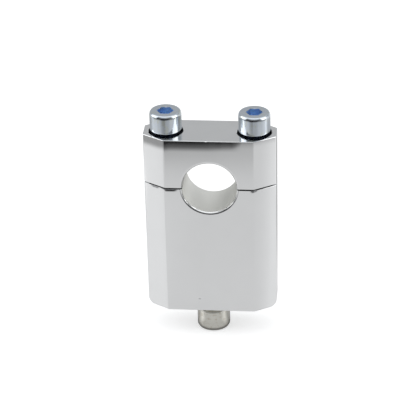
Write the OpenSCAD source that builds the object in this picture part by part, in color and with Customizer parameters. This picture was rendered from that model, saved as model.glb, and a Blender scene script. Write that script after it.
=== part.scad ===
// Bar riser for a motorcycle: a plain aluminium block with a bored clamp cap,
// two cap screws and the bolt that fastens the block to the fork clamp.
// Origin: centre of the block's base face. +Z up, +Y along the handlebar.

/* [Body outline] */
// Wall between a head's counterbore and the narrow side next to it
side_wall = 1.85; // [1.2:0.05:6]
// Depth of the block and the cap, along the handlebar
body_d = 19.3; // [18.5:0.1:26]
// Corner flat, measured along the width
corner_w = 8.9; // [6:0.1:9.4]
// Corner flat, measured along the depth
corner_d = 5.6; // [4:0.1:5.8]
// Broken edges round the top, the base and the split
edge_break = 0.3; // [0.1:0.05:0.5]
// Rounding where the two narrow sides run into the base
foot_radius = 3; // [1:0.25:4]

/* [Handlebar clamp] */
// Height of the handlebar's axis over the base
bar_height = 58; // [53:0.5:90]
// Diameter of the handlebar
bar_d = 22.2; // [21:0.1:22.6]
// Chamfer at both mouths of the handlebar bore
bore_chamfer = 0.65; // [0.3:0.05:1.2]
// Height of the cap's top over the handlebar's axis
cap_rise = 21.4; // [20.5:0.1:26]
// Gap that the cap keeps from the block, to be drawn shut on the bar
split_gap = 0.5; // [0.2:0.05:0.8]
// Middle of that gap below the handlebar's axis
split_drop = 0.35; // [0:0.05:0.5]

/* [Clamp screws] */
// Wall between the handlebar bore and a clamp screw's hole through the cap
bar_wall = 2.35; // [1.2:0.05:6]
// Thread diameter of a clamp screw
screw_d = 8; // [7:0.1:8.4]
// Length of a clamp screw under its head
screw_len = 35; // [32:0.5:42]
// Head diameter of a clamp screw
screw_head_d = 13; // [12:0.1:13.6]
// Head height of a clamp screw
screw_head_h = 8; // [6.5:0.1:9]
// Hex key size of a clamp screw
screw_key = 6; // [4:0.1:7]
// Depth of the hex socket in a clamp screw
screw_key_depth = 4.6; // [3:0.1:5]
// How far the heads still stand over the cap's top
screw_proud = 0.8; // [0.3:0.1:2]
// Depth of the heads' counterbores in the cap
seat_depth = 8.5; // [6:0.1:9]
// Clearance round a head in its counterbore
seat_clearance = 0.7; // [0.3:0.05:0.9]
// Clearance round a shank in its hole through the cap
hole_clearance = 0.5; // [0.2:0.05:0.8]
// Depth of the tapped holes below the block's split face
tap_depth = 26; // [23:0.5:30]

/* [Mounting bolt] */
// Thread diameter of the mounting bolt
bolt_d = 9.5; // [8:0.1:12]
// Length of the mounting bolt under its head
bolt_len = 31.8; // [22:0.1:34]
// Head diameter of the mounting bolt
bolt_head_d = 13.8; // [13:0.1:18]
// Head height of the mounting bolt
bolt_head_h = 9.2; // [7.5:0.1:12]
// Hex key size of the mounting bolt
bolt_key = 7.9; // [6:0.1:8.4]
// Depth of the hex socket in the mounting bolt
bolt_key_depth = 5.2; // [3:0.1:6]
// Gap left between the bolt's head and the base
bolt_gap = 2.7; // [1:0.1:6]
// Depth of the tapped hole in the base
bolt_tap_depth = 36; // [32:0.5:38]

/* [Fits] */
// Running clearance of a thread, all round
thread_clearance = 0.05; // [0.02:0.01:0.1]

/* [Hidden] */
$fn = 96;
through = 1;
head_round = 0.9;
under_round = 0.3;
shank_tip = 1.0;
drill_point = 118;
socket_point = 120;
tap_mouth = 0.6;
seat_mouth = 0.25;

bar_r = bar_d / 2;
hole_r = screw_d / 2 + hole_clearance;
seat_r = screw_head_d / 2 + seat_clearance;
// The screws stand clear of the bore, and the width follows from their heads
screw_x = bar_r + bar_wall + hole_r;
body_w = 2 * (screw_x + seat_r + side_wall);
split_low = bar_height - split_drop - split_gap / 2;
split_high = split_low + split_gap;
top = bar_height + cap_rise;
seat_floor = top - seat_depth;
head_seat = top + screw_proud;

// Chamfered rectangle of the block and the cap seen from above, drawn in by inset all round
module outline(inset = 0) {
    x = body_w / 2;
    y = body_d / 2;
    lean = sqrt(corner_w * corner_w + corner_d * corner_d);
    // Where the inset corner flat meets the inset sides
    cut_w = corner_w - inset * (corner_w + corner_d - lean) / corner_d;
    cut_d = corner_d - inset * (corner_w + corner_d - lean) / corner_w;
    polygon([for (s = [[1, 1], [-1, 1], [-1, -1], [1, -1]], turn = [0, 1])
        (turn == 0) == (s[0] * s[1] > 0)
            ? [s[0] * (x - inset), s[1] * (y - inset - cut_d)]
            : [s[0] * (x - inset - cut_w), s[1] * (y - inset)]]);
}

// Prism on that outline with its end edges broken
module bar_stock(low, high) {
    hull() {
        translate([0, 0, low]) linear_extrude(high - low) outline(edge_break);
        translate([0, 0, low + edge_break]) linear_extrude(high - low - 2 * edge_break) outline();
    }
}

// The handlebar's bore, flared at both mouths
module bar_bore() {
    flare = bore_chamfer + through;
    translate([0, 0, bar_height]) rotate([90, 0, 0]) {
        cylinder(r = bar_r, h = body_d + 2 * through, center = true);
        for (side = [0, 180]) rotate([0, side, 0])
            translate([0, 0, body_d / 2 - bore_chamfer])
                cylinder(r1 = bar_r, r2 = bar_r + flare, h = flare);
    }
}

// Blind drilled hole going down from the origin, with its drill point and a flared mouth
module blind_hole(radius, depth) {
    point = radius / tan(drill_point / 2);
    rotate_extrude() polygon([
        [0, through], [radius + tap_mouth, through], [radius + tap_mouth, 0],
        [radius, -tap_mouth], [radius, -depth], [0, -depth - point]]);
}

// Puts a child on both clamp screws' axes
module at_screws() {
    for (side = [-1, 1]) translate([side * screw_x, 0, 0]) children();
}

// What is taken off one lower edge of the narrow side at +X to round it
module foot_edge() {
    translate([body_w / 2 - foot_radius, 0, foot_radius]) rotate([90, 0, 0]) difference() {
        translate([0, -foot_radius - through, -body_d / 2 - through])
            cube([foot_radius + through, foot_radius + through, body_d + 2 * through]);
        cylinder(r = foot_radius, h = body_d + 4 * through, center = true);
    }
}

module riser_block() {
    color([0.83, 0.84, 0.85]) difference() {
        bar_stock(0, split_low);
        bar_bore();
        translate([0, 0, split_low]) at_screws() blind_hole(screw_d / 2 + thread_clearance, tap_depth);
        rotate([180, 0, 0]) blind_hole(bolt_d / 2 + thread_clearance, bolt_tap_depth);
        for (side = [0, 180]) rotate([0, 0, side]) foot_edge();
    }
}

module clamp_cap() {
    color([0.86, 0.87, 0.88]) difference() {
        bar_stock(split_high, top);
        bar_bore();
        at_screws() {
            translate([0, 0, split_high - through]) cylinder(r = hole_r, h = top - split_high);
            translate([0, 0, seat_floor]) cylinder(r = seat_r, h = seat_depth + through);
            translate([0, 0, top - seat_mouth])
                cylinder(r1 = seat_r, r2 = seat_r + seat_mouth + through, h = seat_mouth + through);
        }
    }
}

// Socket head cap screw, head up, with the underside of its head at the origin
module cap_screw(d, len, head_d, head_h, key, key_depth) {
    r = d / 2;
    head_r = head_d / 2;
    key_r = key / sqrt(3);
    difference() {
        rotate_extrude() polygon(concat(
            [[0, -len], [r - shank_tip, -len], [r, -len + shank_tip], [r, 0],
             [head_r - under_round, 0], [head_r, under_round]],
            [for (a = [0 : 15 : 90]) [head_r - head_round + head_round * cos(a),
                                      head_h - head_round + head_round * sin(a)]],
            [[0, head_h]]));
        translate([0, 0, head_h - key_depth]) cylinder(r = key_r, h = key_depth + through, $fn = 6);
        // Point left by the drill under the hex
        translate([0, 0, head_h - key_depth - key / 2 / tan(socket_point / 2)])
            cylinder(r1 = 0, r2 = key / 2, h = key / 2 / tan(socket_point / 2));
        // Lead-in at the hex's mouth
        translate([0, 0, head_h + key / 2 - key_r])
            cylinder(r1 = key / 2, r2 = key_r + through, h = key_r - key / 2 + through);
    }
}

module clamp_screw(side) {
    color([0.72, 0.77, 0.84]) translate([side * screw_x, 0, head_seat])
        cap_screw(screw_d, screw_len, screw_head_d, screw_head_h, screw_key, screw_key_depth);
}

module left_clamp_screw() {
    clamp_screw(-1);
}

module right_clamp_screw() {
    clamp_screw(1);
}

module mounting_bolt() {
    color([0.66, 0.65, 0.61]) translate([0, 0, -bolt_gap]) rotate([180, 0, 0])
        cap_screw(bolt_d, bolt_len, bolt_head_d, bolt_head_h, bolt_key, bolt_key_depth);
}

riser_block();
clamp_cap();
left_clamp_screw();
right_clamp_screw();
mounting_bolt();
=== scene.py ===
import math
import bmesh
import bpy
from mathutils import Matrix, Vector


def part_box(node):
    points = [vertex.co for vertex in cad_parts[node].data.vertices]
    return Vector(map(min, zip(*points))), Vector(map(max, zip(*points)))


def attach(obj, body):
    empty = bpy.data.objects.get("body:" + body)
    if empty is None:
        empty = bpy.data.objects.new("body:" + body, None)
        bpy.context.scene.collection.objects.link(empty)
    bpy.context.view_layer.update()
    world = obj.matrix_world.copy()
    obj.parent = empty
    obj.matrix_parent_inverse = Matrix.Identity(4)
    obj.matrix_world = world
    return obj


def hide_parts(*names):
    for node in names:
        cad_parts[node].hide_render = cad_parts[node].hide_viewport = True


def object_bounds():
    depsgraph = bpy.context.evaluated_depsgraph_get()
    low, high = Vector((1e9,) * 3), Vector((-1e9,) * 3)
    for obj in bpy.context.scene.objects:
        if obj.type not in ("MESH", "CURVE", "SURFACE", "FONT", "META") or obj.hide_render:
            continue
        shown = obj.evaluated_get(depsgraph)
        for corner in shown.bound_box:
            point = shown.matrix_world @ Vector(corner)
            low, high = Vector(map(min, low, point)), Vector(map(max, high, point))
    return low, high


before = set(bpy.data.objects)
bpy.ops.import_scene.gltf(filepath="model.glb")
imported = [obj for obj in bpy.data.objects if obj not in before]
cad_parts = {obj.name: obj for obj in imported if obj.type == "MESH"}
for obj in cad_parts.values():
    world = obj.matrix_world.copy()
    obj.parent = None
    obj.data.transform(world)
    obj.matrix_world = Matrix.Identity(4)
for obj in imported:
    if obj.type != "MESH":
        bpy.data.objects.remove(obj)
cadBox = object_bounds()
mm = 0.001
tiny = 0.01 * mm  # what lies closer than this counts as the same place
weld = 1e-7  # points closer than this are merged, in metres
past = 1  # how far a cutter stands out past what it cuts, in mm
steps = {"bar": 128, "head": 96, "hole": 48, "thread": 40}  # facets round one turn

# where the photograph was taken from, lengths in mm
view = {"azimuth": 5.38, "elevation": 28.73, "roll": -1.27, "distance": 798.2,
        "focalPixels": 1933.8, "imagePixels": 416, "aimRight": -1.52, "aimUp": 43.86}


# direction from the object, turned from the front and raised, in degrees
def wayTo(azimuth, elevation):
    turn, lift = math.radians(azimuth), math.radians(elevation)
    return Vector((math.sin(turn) * math.cos(lift), -math.cos(turn) * math.cos(lift), math.sin(lift)))


def placeCamera():
    turn = math.radians(view["azimuth"])
    roll = math.radians(view["roll"])
    back = wayTo(view["azimuth"], view["elevation"])
    right = Vector((math.cos(turn), math.sin(turn), 0))
    up = back.cross(right)
    aim = right * view["aimRight"] * mm + Vector((0, 0, view["aimUp"] * mm))
    side = right * math.cos(roll) + up * math.sin(roll)
    over = up * math.cos(roll) - right * math.sin(roll)
    lens = bpy.data.cameras.new("photoCamera")
    lens.sensor_width = 36
    lens.lens = view["focalPixels"] * lens.sensor_width / view["imagePixels"]
    lens.clip_start = 0.01
    camera = bpy.data.objects.new("photoCamera", lens)
    bpy.context.scene.collection.objects.link(camera)
    turned = Matrix((side, over, back)).transposed().to_4x4()
    camera.matrix_world = Matrix.Translation(aim + back * view["distance"] * mm) @ turned
    bpy.context.scene.camera = camera


placeCamera()
print("camera placed")


# shader maths: a wrapped socket that adds Math nodes as it is used in an expression
class Wire:
    def __init__(self, finish, socket):
        self.finish = finish
        self.socket = socket

    def maths(self, operation, *others):
        node = self.finish.add("Math", {"operation": operation}, *((self,) + others))
        return Wire(self.finish, node.outputs[0])

    def __add__(self, other):
        return self.maths("ADD", other)

    def __sub__(self, other):
        return self.maths("SUBTRACT", other)

    def __rsub__(self, other):
        return (self * -1).maths("ADD", other)

    def __mul__(self, other):
        return self.maths("MULTIPLY", other)

    def __truediv__(self, other):
        return self.maths("DIVIDE", other)

    def __pow__(self, other):
        return self.maths("POWER", other)

    __radd__ = __add__
    __rmul__ = __mul__

    # 0 below low, amount above high, with soft shoulders; low may be the larger one
    def rise(self, low, high, amount=1):
        node = self.finish.add("MapRange", {"interpolation_type": "SMOOTHSTEP"}, self, low, high, 0, amount)
        return Wire(self.finish, node.outputs[0])


class Finish:
    def __init__(self, name, tree=None):
        if tree is None:
            self.material = bpy.data.materials.new(name)
            self.material.use_nodes = True
            tree = self.material.node_tree
        self.tree = tree
        self.tree.nodes.clear()

    def feed(self, socket, value):
        if isinstance(value, Wire):
            value = value.socket
        if isinstance(value, bpy.types.NodeSocket):
            self.tree.links.new(value, socket)
        else:
            socket.default_value = value

    def add(self, kind, settings=None, *inputs, **named):
        node = self.tree.nodes.new("ShaderNode" + kind)
        for key, value in (settings or {}).items():
            setattr(node, key, value)
        for key, value in enumerate(inputs):
            self.feed(node.inputs[key], value)
        for key, value in named.items():
            self.feed(node.inputs[key.replace("_", " ")], value)
        return node

    # the three parts of a place or a direction
    def parts(self, kind):
        split = self.add("SeparateXYZ", None, self.add("TexCoord").outputs[kind])
        return [Wire(self, socket) for socket in split.outputs]

    def noise(self, scale, detail, stretch=(1, 1, 1)):
        spot = self.add("Mapping", None, Vector=self.add("TexCoord").outputs["Object"], Scale=stretch)
        node = self.add("TexNoise", {"noise_dimensions": "3D"}, Vector=spot.outputs[0], Scale=scale,
                        Detail=detail)
        return Wire(self, node.outputs[0])

    def blend(self, amount, first, second):
        node = self.add("Mix", {"data_type": "RGBA"})
        for key, value in ((0, amount), (6, first), (7, second)):
            self.feed(node.inputs[key], value)
        return node.outputs[2]

    def metal(self, color, roughness, height):
        bump = self.add("Bump", None, Strength=1, Distance=1, Height=height)
        shader = self.add("BsdfPrincipled", None, Base_Color=color, Metallic=1, Roughness=roughness,
                          Normal=bump.outputs[0])
        self.add("OutputMaterial", None, shader.outputs[0])


def grey(level):
    return (level, level, level, 1)


def objectMode():
    if bpy.context.mode != "OBJECT":
        bpy.ops.object.mode_set(mode="OBJECT")


def deselect():
    objectMode()
    bpy.ops.object.select_all(action="DESELECT")


def choose(piece):
    deselect()
    piece.select_set(True)
    bpy.context.view_layer.objects.active = piece


def editPiece(piece):
    choose(piece)
    bpy.ops.object.mode_set(mode="EDIT")


# selects what passes a test, in edit mode
def pick(kind, test):
    bpy.ops.mesh.select_all(action="DESELECT")
    bpy.ops.mesh.select_mode(type={"edges": "EDGE", "faces": "FACE"}[kind])
    shape = bmesh.from_edit_mesh(bpy.context.active_object.data)
    for part in getattr(shape, kind):
        if test(part):
            part.select_set(True)
    bmesh.update_edit_mesh(bpy.context.active_object.data)


def named(name):
    piece = bpy.context.active_object
    piece.name = name
    piece.data.name = name
    return piece


def applyPlace(piece):
    choose(piece)
    bpy.ops.object.transform_apply(location=True, rotation=True, scale=True)


# box between two corners in metres
def addBlock(name, low, high):
    deselect()
    middle = [(a + b) / 2 for a, b in zip(low, high)]
    bpy.ops.mesh.primitive_cube_add(size=1, location=middle, scale=[b - a for a, b in zip(low, high)])
    piece = named(name)
    applyPlace(piece)
    return piece


# open chain of (radius, height) points in mm, left in edit mode
def drawProfile(name, points):
    deselect()
    bpy.ops.mesh.primitive_plane_add(size=mm, location=(0, 0, 0))
    piece = named(name)
    bpy.ops.object.mode_set(mode="EDIT")
    bpy.ops.mesh.select_mode(type="VERT")
    bpy.ops.mesh.select_all(action="SELECT")
    bpy.ops.mesh.merge(type="CENTER")
    bpy.ops.transform.translate(value=(points[0][0] * mm, 0, points[0][1] * mm))
    for (r0, z0), (r1, z1) in zip(points, points[1:]):
        step = ((r1 - r0) * mm, 0, (z1 - z0) * mm)
        bpy.ops.mesh.extrude_region_move(TRANSFORM_OT_translate={"value": step})
    return piece


# solid turned about Z from a profile that starts and ends on the axis, then moved to place
def turnPiece(name, points, facets, place=(0, 0, 0)):
    piece = drawProfile(name, points)
    bpy.ops.mesh.select_all(action="SELECT")
    bpy.ops.mesh.spin(steps=facets, angle=2 * math.pi, center=(0, 0, 0), axis=(0, 0, 1))
    bpy.ops.mesh.select_all(action="SELECT")
    bpy.ops.mesh.remove_doubles(threshold=weld)
    bpy.ops.mesh.normals_make_consistent(inside=False)
    bpy.ops.transform.translate(value=[v * mm for v in place])
    objectMode()
    return piece


def arc(centre, radius, start, end, count):
    angles = [math.radians(start + (end - start) * k / count) for k in range(count + 1)]
    return [(centre[0] + radius * math.cos(a), centre[1] + radius * math.sin(a)) for a in angles]


def applyModifier(piece, kind, **settings):
    choose(piece)
    modifier = piece.modifiers.new(kind.title(), kind)
    for key, value in settings.items():
        setattr(modifier, key, value)
    bpy.ops.object.modifier_apply(modifier=modifier.name)


def combine(piece, cutter, operation="DIFFERENCE"):
    applyModifier(piece, "BOOLEAN", object=cutter, operation=operation, solver="EXACT")
    bpy.data.objects.remove(cutter)


def movePiece(piece, x, y, z, flip=False):
    editPiece(piece)
    bpy.ops.mesh.select_all(action="SELECT")
    if flip:
        bpy.ops.transform.rotate(value=math.pi, orient_axis="X", center_override=(0, 0, 0))
    bpy.ops.transform.translate(value=(x, y, z))
    objectMode()


def giveFinish(piece, finish, test=None):
    piece.data.materials.append(finish.material)
    if test is None:
        return
    piece.active_material_index = len(piece.data.materials) - 1
    editPiece(piece)
    pick("faces", test)
    bpy.ops.object.material_slot_assign()
    objectMode()


# the block and the cap share their outline and the handlebar's bore, lengths in mm
outline = {"cornerWide": 8.9, "cornerDeep": 5.6, "edge": 0.35, "splitEdge": 0.12, "topEdge": 0.22,
           "foot": 3, "fine": 0.16, "fineAngle": 35, "screwX": 17.95}
bore = {"height": 58, "radius": 11.1, "flare": 0.65,
        "facets": [(1.2, 0), (0.6, 0.24), (0.35, 0.45), (0, 1)]}  # out and in, as shares of the flare
lipRadius = bore["radius"] + bore["flare"] * bore["facets"][0][0]


def softenEdges(piece):
    applyModifier(piece, "BEVEL", width=outline["fine"] * mm, segments=2, limit_method="ANGLE",
                  angle_limit=math.radians(outline["fineAngle"]), harden_normals=True,
                  use_clamp_overlap=True, miter_outer="MITER_ARC")


def cutCorners():
    x = cadBox[1][0] - outline["cornerWide"] * mm / 2
    y = cadBox[1][1] - outline["cornerDeep"] * mm / 2
    for sideX in (-1, 1):
        for sideY in (-1, 1):
            bpy.ops.mesh.select_all(action="SELECT")
            normal = Vector((sideX * outline["cornerDeep"], sideY * outline["cornerWide"], 0)).normalized()
            bpy.ops.mesh.bisect(plane_co=(sideX * x, sideY * y, 0), plane_no=normal,
                                use_fill=True, clear_outer=True)


def upright(edge):
    a, b = (v.co for v in edge.verts)
    return abs(a.z - b.z) > 5 * mm and (a.xy - b.xy).length < tiny


def level(edge, height):
    return all(abs(v.co.z - height) < tiny for v in edge.verts)


def acrossDepth(edge):
    return abs(edge.verts[0].co.x - edge.verts[1].co.x) < tiny


def barCutter():
    half = cadBox[1][1] / mm
    radius, flare = bore["radius"], bore["flare"]
    side = [(lipRadius + 3, half + past)]
    side += [(radius + flare * out, half - flare * deep) for out, deep in bore["facets"]]
    points = [(0, -half - past)] + [(x, -y) for x, y in side] + side[::-1] + [(0, half + past)]
    cutter = turnPiece("barCutter", points, steps["bar"])
    cutter.rotation_euler = (math.pi / 2, 0, 0)
    applyPlace(cutter)
    movePiece(cutter, 0, 0, bore["height"] * mm)
    return cutter


def bluntStock(name, node, lowEdge, highEdge, foot=0):
    low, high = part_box(node)
    piece = addBlock(name, low, high)
    editPiece(piece)
    if foot:
        pick("edges", lambda e: level(e, low.z) and acrossDepth(e))
        bpy.ops.mesh.bevel(offset=foot * mm, segments=8, affect="EDGES")
    cutCorners()
    pick("edges", upright)
    bpy.ops.mesh.bevel(offset=outline["edge"] * mm, segments=3, affect="EDGES")
    for z, width in ((low.z, lowEdge), (high.z, highEdge)):
        pick("edges", lambda e: level(e, z))
        bpy.ops.mesh.bevel(offset=width * mm, segments=2, affect="EDGES")
    objectMode()
    combine(piece, barCutter())
    return piece


# riser block; buffed stretches of its top edge are start and end along X, depth and tilt
block = {"screwHole": 4.05, "screwDepth": 26, "boltHole": 4.8, "boltDepth": 36, "mouth": 0.6,
         "drillPoint": 0.6, "speck": (-4.9, 5.7),
         "buffs": ((-18.5, -13.5, 1.4, 0.26), (17, 19.5, 1.3, 0.28), (-24, -20.5, 1.4, 0.25))}


def holeCutter(name, radius, depth, place):
    mouth = block["mouth"]
    points = [(0, past), (radius + mouth, past), (radius + mouth, 0), (radius, -mouth), (radius, -depth),
              (0, -depth - radius * block["drillPoint"])]
    return turnPiece(name, points, steps["hole"], place)


def makeBlock():
    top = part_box("riser_block")[1].z / mm
    piece = bluntStock("riserBlock", "riser_block", outline["edge"], outline["splitEdge"], outline["foot"])
    for side in (-1, 1):
        spot = (side * outline["screwX"], 0, top)
        combine(piece, holeCutter("tapCutter", block["screwHole"], block["screwDepth"], spot))
    bolt = holeCutter("boltCutter", block["boltHole"], block["boltDepth"], (0, 0, 0))
    bolt.rotation_euler = (math.pi, 0, 0)
    applyPlace(bolt)
    combine(piece, bolt)
    softenEdges(piece)
    return piece


# clamp cap, with the nick in its top front edge and its buffed stretches as for the block
cap = {"screwHole": 4.5, "seatRadius": 7.08, "seatDepth": 8.5, "seatEdge": 0.25,
       "nickX": -1.0, "nickSize": 0.45, "nickOut": 0.12, "nickUp": 0.08,
       "buffs": ((-18, 2.5, 4.9, 0.135), (2.5, 11, 4.6, 0.125), (-40, -18, 5.5, 0.2), (11, 40, 3, 0.05))}


def seatProfile(low, top):
    rim = cap["seatEdge"] + past
    floor = top - cap["seatDepth"]
    return [(0, low - past), (cap["screwHole"], low - past), (cap["screwHole"], floor),
            (cap["seatRadius"], floor), (cap["seatRadius"], top - cap["seatEdge"]),
            (cap["seatRadius"] + rim, top + past), (0, top + past)]


def makeCap():
    low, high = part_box("clamp_cap")
    piece = bluntStock("clampCap", "clamp_cap", outline["splitEdge"], outline["topEdge"])
    points = seatProfile(low.z / mm, high.z / mm)
    for side in (-1, 1):
        combine(piece, turnPiece("seatCutter", points, steps["head"], (side * outline["screwX"], 0, 0)))
    softenEdges(piece)
    deselect()
    spot = (cap["nickX"] * mm, low.y - cap["nickOut"] * mm, high.z + cap["nickUp"] * mm)
    bpy.ops.mesh.primitive_ico_sphere_add(subdivisions=2, radius=cap["nickSize"] * mm, location=spot)
    nick = named("nickCutter")
    applyPlace(nick)
    combine(piece, nick)
    return piece


# socket head cap screws, lengths in mm, with the underside of the head at height 0
clampScrew = {"shank": 4.0, "length": 35, "head": 6.5, "headHeight": 8, "round": 0.9, "under": 0.3,
              "tip": 1.0, "key": 6, "keyDepth": 4.6, "lead": 0.1, "pitch": 1.25, "threaded": 28}
baseBolt = {"shank": 4.75, "length": 31.8, "head": 6.9, "headHeight": 9.2, "round": 0.9, "under": 0.5,
            "tip": 1.0, "key": 7.9, "keyDepth": 5.2, "lead": 0.3, "pitch": 1.5875, "threaded": 25.4}

# how every head is eased: its neck, steps in from its side and down from its top, then its crown
ease = {"neck": 0.25, "side": [(0, 1.6), (0, 1.3), (0.03, 1.1), (0.12, 0.72)], "crown": 0.7, "crownFrom": 35}

# thread groove in shares of the pitch, and how far its cutter stands out past the shank
groove = {"depth": 0.61, "mouth": 0.44, "root": 0.12, "out": 0.06}

# drill point under a hex socket, in shares of half the key's size, then how it joins the hex
drill = {"radius": 0.98, "point": 0.55, "step": 0.02, "overlap": 0.5}


# helical groove to be taken from a shank
def threadCutter(size):
    pitch = size["pitch"]
    root = size["shank"] - groove["depth"] * pitch
    wide = groove["mouth"] * pitch
    narrow = groove["root"] * pitch
    out = size["shank"] + groove["out"]
    start = -size["length"] - pitch
    cutter = drawProfile("threadCutter", [(root, start - narrow), (out, start - wide),
                                          (out, start + wide), (root, start + narrow)])
    bpy.ops.mesh.select_all(action="SELECT")
    bpy.ops.mesh.edge_face_add()
    bpy.ops.mesh.delete(type="ONLY_FACE")
    objectMode()
    turns = round((size["threaded"] + pitch) / pitch)
    applyModifier(cutter, "SCREW", axis="Z", angle=2 * math.pi, screw_offset=pitch * mm, iterations=turns,
                  steps=steps["thread"], render_steps=steps["thread"], use_merge_vertices=True,
                  merge_threshold=weld)
    editPiece(cutter)
    bpy.ops.mesh.select_all(action="SELECT")
    bpy.ops.mesh.fill_holes(sides=4)
    bpy.ops.mesh.normals_make_consistent(inside=False)
    objectMode()
    return cutter


def socketCutter(size):
    top = size["headHeight"]
    floor = top - size["keyDepth"]
    across = size["key"] / 2
    corner = size["key"] / math.sqrt(3)
    deselect()
    bpy.ops.mesh.primitive_cylinder_add(vertices=6, radius=corner * mm, depth=(size["keyDepth"] + past) * mm,
                                        location=(0, 0, (floor + top + past) / 2 * mm))
    cutter = named("socketCutter")
    applyPlace(cutter)
    editPiece(cutter)
    bpy.ops.mesh.select_all(action="SELECT")
    bpy.ops.transform.rotate(value=math.radians(30), orient_axis="Z", center_override=(0, 0, 0))
    objectMode()
    radius = across * drill["radius"]
    point = [(0, floor - across * drill["point"]), (radius, floor + drill["step"]),
             (radius, floor + drill["overlap"]), (0, floor + drill["overlap"])]
    combine(cutter, turnPiece("socketPoint", point, steps["hole"]), "UNION")
    low = top - size["lead"]
    lead = [(0, low), (across, low), (across + past + size["lead"], top + past), (0, top + past)]
    combine(cutter, turnPiece("socketLead", lead, steps["hole"]), "UNION")
    return cutter


def makeScrew(name, size):
    r = size["shank"]
    head = size["head"]
    top = size["headHeight"]
    under = size["under"]
    crown = size["round"] * ease["crown"]
    points = [(0, -size["length"]), (r - size["tip"], -size["length"]), (r, -size["length"] + size["tip"])]
    points += [(r, -ease["neck"]), (r + ease["neck"], 0), (head - under * 2, 0)]
    points += arc((head - under, under), under, -90, 0, 4)
    points += [(head, under + ease["neck"])]
    points += [(head - inward, top - down) for inward, down in ease["side"]]
    points += arc((head - size["round"], top - crown), crown, ease["crownFrom"], 90, 6)
    points += [(0, top)]
    piece = turnPiece(name, points, steps["head"])
    combine(piece, socketCutter(size))
    combine(piece, threadCutter(size))
    return piece


def smoothScrew(piece):
    choose(piece)
    bpy.ops.object.shade_smooth_by_angle(angle=math.radians(30))


# polished aluminium: soft waves, fine brush marks, flats with a slight crown, buffed edges that roll
# over; lengths in mm, bump heights in metres
polish = {"roughness": 0.13, "roughSpread": 0.04, "cloudScale": 160, "waveScale": 38, "wave": 1.6e-5,
          "brushScale": 900, "brushStretch": (1, 1, 0.05), "brush": 2e-7, "crown": 0.10,
          "rimWidth": 0.4, "rimTilt": 0.14, "longBuff": 10, "buffFade": 0.3,
          "darkTone": (0.84, 0.845, 0.85, 1), "lightTone": (0.88, 0.885, 0.89, 1)}
# painted shade: a dark line round the bore's lip; where it starts and ends from the lip in mm, how dark, its
# shift up on the cap and its colour
lipShadeLine = {"from": 0.25, "to": 0.05, "amount": 0.6, "capShift": 0.55, "tone": (0.25, 0.25, 0.26, 1)}
# painted shade along the block's top edge at the seam under the cap: the share of the buff depth it reaches,
# how far below the top it is full, how dark, its colour
seamShadeMark = {"share": 0.5, "below": 0.1, "amount": 0.45, "tone": (0.2, 0.2, 0.24, 1)}
speckMark = {"from": 0.38, "to": 0.12, "flatten": 0.3, "front": (-5, -6), "tone": (0.55, 0.55, 0.56, 1)}


# fall of a surface that rolls over towards an edge, steepest at the edge itself
def rolled(distance, width, tilt):
    near = (1 - distance / (width * mm)).maths("MAXIMUM", 0).maths("MINIMUM", 1)
    return near * near * (tilt * width * mm / 2)


# height lost over the corner flats' crown
def crowned(x):
    half = outline["cornerWide"] * mm / 2
    along = (x.maths("ABSOLUTE") - (cadBox[1][0] - half)) / half
    flat = math.hypot(outline["cornerWide"], outline["cornerDeep"]) * mm
    return (along * along).maths("MINIMUM", 1) * (polish["crown"] * flat / 4)


def polishedAluminium(name, node, piece):
    f = Finish(name)
    x, y, z = f.parts("Object")
    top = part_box(node)[1].z
    wave = (f.noise(polish["waveScale"], 2) - 0.5) * polish["wave"]
    brush = (f.noise(polish["brushScale"], 2, polish["brushStretch"]) - 0.5) * polish["brush"]
    over = z - bore["height"] * mm
    rim = (x * x + over * over) ** 0.5 - lipRadius * mm
    height = wave + brush - rolled(rim, polish["rimWidth"], polish["rimTilt"]) - crowned(x)
    seamShade = 0
    for start, end, depth, tilt in piece["buffs"]:
        soft = min(end - start, polish["longBuff"]) * polish["buffFade"]
        spread = x.rise((start - soft) * mm, (start + soft) * mm)
        spread = spread * x.rise((end + soft) * mm, (end - soft) * mm)
        height = height - rolled(top - z, depth, tilt) * spread
        seamShade = spread * z.rise(top - depth * seamShadeMark["share"] * mm, top - seamShadeMark["below"] * mm) + seamShade
    cloud = f.noise(polish["cloudScale"], 3)
    tone = f.blend(cloud, polish["darkTone"], polish["lightTone"])
    # painted shade: darken a thin line round the bore's lip, shifted on the cap
    inCap = z.rise((bore["height"] - 0.3) * mm, (bore["height"] + 0.3) * mm)
    away = (rim + inCap * (lipShadeLine["capShift"] * mm)).maths("ABSOLUTE")
    line = away.rise(lipShadeLine["from"] * mm, lipShadeLine["to"] * mm, lipShadeLine["amount"])
    tone = f.blend(line, tone, lipShadeLine["tone"])
    if "speck" in piece:
        front = [v * mm for v in speckMark["front"]]
        # painted shade darkens the block's top edge on its buffed stretches
        tone = f.blend(seamShade.maths("MINIMUM", 1) * seamShadeMark["amount"], tone, seamShadeMark["tone"])
        aside, above = x - piece["speck"][0] * mm, z - piece["speck"][1] * mm
        away = (aside * aside * speckMark["flatten"] + above * above) ** 0.5
        dot = away.rise(speckMark["from"] * mm, speckMark["to"] * mm) * y.rise(*front)
        tone = f.blend(dot, tone, speckMark["tone"])
    f.metal(tone, polish["roughness"] + (cloud - 0.5) * polish["roughSpread"], height)
    return f


# satin bored walls, paler on the left by painted light
bored = {"scale": 700, "stretch": (0.06, 1, 0.06), "bump": 4e-6, "roughness": 0.5, "roughSpread": 0.1,
         "darkTone": (0.79, 0.79, 0.755, 1), "lightTone": (0.87, 0.87, 0.83, 1),
         "paintedLeftLight": (0.94, 0.94, 0.905, 1), "leftFrom": 6, "leftTo": -9}


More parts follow.
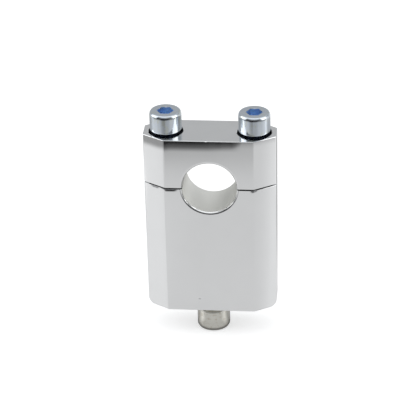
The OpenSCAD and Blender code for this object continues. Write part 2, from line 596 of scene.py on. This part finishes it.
def boredAluminium(name):
    f = Finish(name)
    rings = f.noise(bored["scale"], 2, bored["stretch"])
    tone = f.blend(rings, bored["darkTone"], bored["lightTone"])
    # painted light: the walls blend to a paler colour towards the left
    leftward = f.parts("Object")[0].rise(bored["leftFrom"] * mm, bored["leftTo"] * mm)
    tone = f.blend(leftward, tone, bored["paintedLeftLight"])
    f.metal(tone, bored["roughness"] + (rings - 0.5) * bored["roughSpread"], (rings - 0.5) * bored["bump"])
    return f


# walls of the cap's screw holes, painted dark as the shade in these recesses
recess = {"scale": 500, "bump": 5e-6, "roughness": 0.4,
          "darkTone": (0.24, 0.25, 0.27, 1), "lightTone": (0.42, 0.43, 0.46, 1)}


def shadedRecess(name):
    f = Finish(name)
    mottle = f.noise(recess["scale"], 3)
    tone = f.blend(mottle, recess["darkTone"], recess["lightTone"])
    f.metal(tone, recess["roughness"], (mottle - 0.5) * recess["bump"])
    return f


# blue zinc, clouded and stained
zincLook = {"cloudScale": 260, "roughSpread": 0.08, "stainScale": 700, "stainStretch": (1, 1, 0.5),
            "stain": (0.5, 0.68, 0.7), "stainBump": 4e-6, "fineScale": 2200, "fineBump": 1.4e-6}
headPlate = {"light": (0.72, 0.77, 0.82, 1), "dark": (0.59, 0.65, 0.73, 1), "warm": (0.66, 0.69, 0.62, 1),
             "roughness": 0.13}
socketPlate = {"light": (0.70, 0.86, 1.0, 1), "dark": (0.27, 0.45, 0.80, 1), "warm": (0.56, 0.80, 0.92, 1),
               "roughness": 0.45}
shankPlate = {"light": (0.60, 0.72, 0.92, 1), "dark": (0.40, 0.52, 0.74, 1), "warm": (0.44, 0.5, 0.66, 1),
              "roughness": 0.2}


def zincPlate(name, plate):
    f = Finish(name)
    cloud = f.noise(zincLook["cloudScale"], 3)
    stain = f.noise(zincLook["stainScale"], 3, zincLook["stainStretch"])
    fine = f.noise(zincLook["fineScale"], 2)
    tone = f.blend(cloud, plate["dark"], plate["light"])
    tone = f.blend(stain.rise(*zincLook["stain"]), tone, plate["warm"])
    height = (fine - 0.5) * zincLook["fineBump"] + stain * zincLook["stainBump"]
    f.metal(tone, plate["roughness"] + (cloud - 0.5) * zincLook["roughSpread"], height)
    return f


# plain steel with turning marks and brown stains
steelLook = {"cloudScale": 300, "stainScale": 900, "stain": (0.52, 0.7, 0.6), "ringScale": 1500,
             "ringStretch": (0.05, 0.05, 1), "ringBump": 1.5e-6, "roughness": 0.2, "roughSpread": 0.1,
             "darkTone": (0.63, 0.62, 0.57, 1), "lightTone": (0.72, 0.71, 0.655, 1),
             "stainTone": (0.52, 0.47, 0.40, 1)}


def turnedSteel(name):
    f = Finish(name)
    stain = f.noise(steelLook["stainScale"], 3)
    rings = f.noise(steelLook["ringScale"], 2, steelLook["ringStretch"]) - 0.5
    tone = f.blend(f.noise(steelLook["cloudScale"], 3), steelLook["darkTone"], steelLook["lightTone"])
    tone = f.blend(stain.rise(*steelLook["stain"]), tone, steelLook["stainTone"])
    f.metal(tone, steelLook["roughness"] + rings * steelLook["roughSpread"], rings * steelLook["ringBump"])
    return f


blockFinish = polishedAluminium("blockPolish", "riser_block", block)
capFinish = polishedAluminium("capPolish", "clamp_cap", cap)
boreFinish = boredAluminium("boredWall")
recessFinish = shadedRecess("shadedRecess")
zinc = zincPlate("blueZinc", headPlate)
socketBlue = zincPlate("socketBlue", socketPlate)
shankBlue = zincPlate("shankBlue", shankPlate)
steel = turnedSteel("turnedSteel")
print("finishes made")


def inBore(face):
    c = face.calc_center_median()
    r = math.hypot(c.x, c.z - bore["height"] * mm)
    return r < (bore["radius"] + 0.3) * mm and abs(face.normal.y) < 0.5


def inScrewHole(face):
    c = face.calc_center_median()
    r = math.hypot(abs(c.x) - outline["screwX"] * mm, c.y)
    return r < (cap["seatRadius"] + 0.02) * mm and capLow + 1 * mm < c.z < capTop - 0.2 * mm


capLow, capTop = (corner.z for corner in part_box("clamp_cap"))
riserBlock = makeBlock()
giveFinish(riserBlock, blockFinish)
giveFinish(riserBlock, boreFinish, inBore)
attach(riserBlock, "block")
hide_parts("riser_block")
print("riser block made")

clampCap = makeCap()
giveFinish(clampCap, capFinish)
giveFinish(clampCap, boreFinish, inBore)
giveFinish(clampCap, recessFinish, inScrewHole)
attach(clampCap, "cap")
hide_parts("clamp_cap")
print("clamp cap made")


def inSocket(face):
    c = face.calc_center_median()
    corner = clampScrew["key"] / math.sqrt(3) * mm
    return math.hypot(c.x, c.y) < corner and 0 < c.z < (clampScrew["headHeight"] - 0.1) * mm


def onShank(face):
    c = face.calc_center_median()
    return math.hypot(c.x, c.y) < clampScrew["shank"] * mm + tiny and c.z < 0


def makeClampScrews():
    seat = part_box("left_clamp_screw")[1].z - clampScrew["headHeight"] * mm
    first = makeScrew("leftClampScrew", clampScrew)
    giveFinish(first, zinc)
    giveFinish(first, socketBlue, inSocket)
    giveFinish(first, shankBlue, onShank)
    smoothScrew(first)
    second = first.copy()
    second.data = first.data.copy()
    second.name = second.data.name = "rightClampScrew"
    bpy.context.scene.collection.objects.link(second)
    for piece, side, body in ((first, -1, "left"), (second, 1, "right")):
        movePiece(piece, side * outline["screwX"] * mm, 0, seat)
        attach(piece, body + "_screw")
        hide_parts(body + "_clamp_screw")


makeClampScrews()
print("clamp screws made")


def makeBaseBolt():
    piece = makeScrew("baseBolt", baseBolt)
    giveFinish(piece, steel)
    smoothScrew(piece)
    movePiece(piece, 0, 0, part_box("mounting_bolt")[0].z + baseBolt["headHeight"] * mm, flip=True)
    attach(piece, "base_bolt")
    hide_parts("mounting_bolt")


makeBaseBolt()
print("mounting bolt made")

# light: a pale sky that is dark low in front, two soft boxes and a pale floor; boxes are azimuth,
# elevation, width and height
studio = {"back": 0.50, "zenith": 1.15, "front": 0.05, "aside": 0.16, "behind": 0.14, "corner": 0.15,
          "flank": 0.6, "tint": (0.97, 0.985, 1, 1), "boxLight": 1.2, "boxDistance": 900, "boxAim": 50,
          "boxes": {"rightSoftBox": (77, 26, 640, 760), "leftSoftBox": (-83, 26, 780, 760)}}


def lightWorld():
    world = bpy.data.worlds.new("studioSky")
    bpy.context.scene.world = world
    world.use_nodes = True
    f = Finish("studioSky", world.node_tree)
    x, y, z = f.parts("Generated")
    over = z.rise(0.45, 0.95)  # bright overhead
    front = (y * -0.95 - x * 0.3).rise(0.2, 0.75) * z.rise(0.62, 0.2)  # dark low in front
    aside = x.maths("ABSOLUTE").rise(0.3, 0.7, studio["aside"]) * (1 - over) * y.rise(0.8, 0.4)
    behind = (x * 0.5 + y * 0.87).rise(0.75, 0.95, studio["behind"]) * z.rise(0.3, 0.05)
    corner = x.rise(0.15, 0.45, studio["corner"]) * y.rise(0.4, 0.8) * z.rise(0.4, 0.15)
    flank = x.maths("ABSOLUTE").rise(0.82, 0.95, studio["flank"]) * (1 - over)
    sky = studio["back"] - aside + behind + corner + flank + over * (studio["zenith"] - studio["back"])
    strength = sky * (1 - front) + front * studio["front"]
    seen = f.add("Background", None, Color=grey(1), Strength=1)
    lit = f.add("Background", None, Color=studio["tint"], Strength=strength)
    path = f.add("LightPath")
    mix = f.add("MixShader", None, path.outputs["Is Camera Ray"], lit.outputs[0], seen.outputs[0])
    f.add("OutputWorld", None, mix.outputs[0])


def addSoftBox(name, azimuth, elevation, wide, tall):
    lamp = bpy.data.lights.new(name, "AREA")
    lamp.shape = "RECTANGLE"
    lamp.size = wide * mm
    lamp.size_y = tall * mm
    lamp.energy = studio["boxLight"] * math.pi * lamp.size * lamp.size_y
    holder = bpy.data.objects.new(name, lamp)
    bpy.context.scene.collection.objects.link(holder)
    way = wayTo(azimuth, elevation)
    holder.location = Vector((0, 0, studio["boxAim"] * mm)) + way * studio["boxDistance"] * mm
    holder.rotation_euler = way.to_track_quat("Z", "Y").to_euler()
    holder.visible_camera = False


# the paper's brightness by place, which the polished faces mirror, with painted shadow under the block and
# round the bolt's foot and painted light beside the bolt: stretches in metres, then by how much
paper = {"level": 0.682, "sheet": 0.4, "gleam": 0.58, "seen": 0.75, "glow": 0.47,
         "right": (1.3, 3.2, 0.15), "left": (0.8, 2.2, 0.15),
         "first": (0.153, 0.182, 0.31), "firstNear": (0.145, 0.188, 0.29), "second": (0.165, 0.255, 0.56),
         "third": (0.27, 0.38, 0.12), "farSide": (0.20, 0.30, 0.6),
         "stripRight": (0.13, 0.155, 0.24), "stripLeft": (0.13, 0.155, 0.3), "nearLeft": (0.012, 0.035, 0.05),
         "foot": (0.11, 0.03, 0.03), "besideBolt": (0.009, 0.013, 0.32), "outer": (0.2, 0.3, 0.6),
         "behind": (0.03, 0.09, 0.4), "backLeft": (0.05, 0.2, 0.26), "under": (-0.006, 0.002, 0.5),
         "touch": (0.0098, 0.0082, 0.6)}


def paperLevel(x, y):
    ahead = y * -1
    leftward = x * -1
    turn = x / ahead.maths("MAXIMUM", 0.001)
    reach = (x * x + y * y) ** 0.5
    middle = 1 - turn.maths("ABSOLUTE").rise(0.35, 1.1)  # 1 straight ahead, 0 to the sides
    near = x.rise(-0.033, -0.022)
    far = x.rise(-0.014, 0.002)
    strip = y.rise(-0.03, -0.012) * y.rise(0.055, 0.03)  # lies level with the object, along X
    first = ahead.rise(*paper["first"]) * (1 - near) + ahead.rise(*paper["firstNear"]) * near
    second = ahead.rise(*paper["second"]) + ahead.rise(*paper["third"])
    fall = first + second + (ahead.rise(*paper["farSide"]) - second) * far
    level = turn.rise(*paper["right"]) + (turn * -1).rise(*paper["left"]) + paper["level"]
    level = level + strip * x.rise(*paper["stripRight"])
    level = level + strip * leftward.rise(*paper["stripLeft"]) * reach.rise(0.21, 0.16)
    level = level + leftward.rise(*paper["nearLeft"]) * middle * ahead.rise(0.15, 0.11)
    level = level + ahead.rise(*paper["foot"]) * ahead.rise(0, 0.01)
    level = level * (1 - fall * middle)
    # painted light on the paper just beside the bolt
    besideBolt = x.maths("ABSOLUTE").rise(*paper["besideBolt"])
    level = level + besideBolt * reach.rise(0.03, 0.02) * y.rise(-0.012, -0.008)
    # dimmer paper further out, behind and back left; under and touch are painted shadow under the block and
    # round the bolt's foot
    for shade in (reach.rise(*paper["outer"]) * (1 - middle) * y.rise(0.08, 0) * (1 - strip),
                  y.rise(*paper["behind"]) * reach.rise(0.3, 0.18),
                  y.rise(*paper["backLeft"]) * leftward.rise(-0.05, 0.1),
                  y.rise(*paper["under"]) * reach.rise(0.05, 0.02),
                  reach.rise(*paper["touch"])):
        level = level * (1 - shade)
    return level


def layFloor():
    deselect()
    bpy.ops.mesh.primitive_plane_add(size=4, location=(0, 0, cadBox[0][2]))
    floor = named("paleFloor")
    f = Finish("paleFloor")
    x, y, z = f.parts("Object")
    level = paperLevel(x, y)
    sheet = f.add("BsdfDiffuse", None, Color=f.blend(level * paper["sheet"], grey(0), grey(1)))
    # the paper the metal mirrors partly glows, a painted light that no lamp gives
    gleam = f.add("Emission", None, Color=f.blend(level * paper["gleam"], grey(0), grey(1)), Strength=1)
    mirrored = f.add("AddShader", None, sheet.outputs[0], gleam.outputs[0])
    shade = f.add("BsdfDiffuse", None, Color=grey(paper["seen"]))
    glow = f.add("Emission", None, Color=grey(1), Strength=paper["glow"])
    seen = f.add("AddShader", None, shade.outputs[0], glow.outputs[0])
    path = f.add("LightPath")
    mix = f.add("MixShader", None, path.outputs["Is Camera Ray"], mirrored.outputs[0], seen.outputs[0])
    f.add("OutputMaterial", None, mix.outputs[0])
    floor.data.materials.append(f.material)


lightWorld()
for name, setting in studio["boxes"].items():
    addSoftBox(name, *setting)
layFloor()
bpy.context.scene.view_settings.view_transform = "Standard"
print("studio lit")
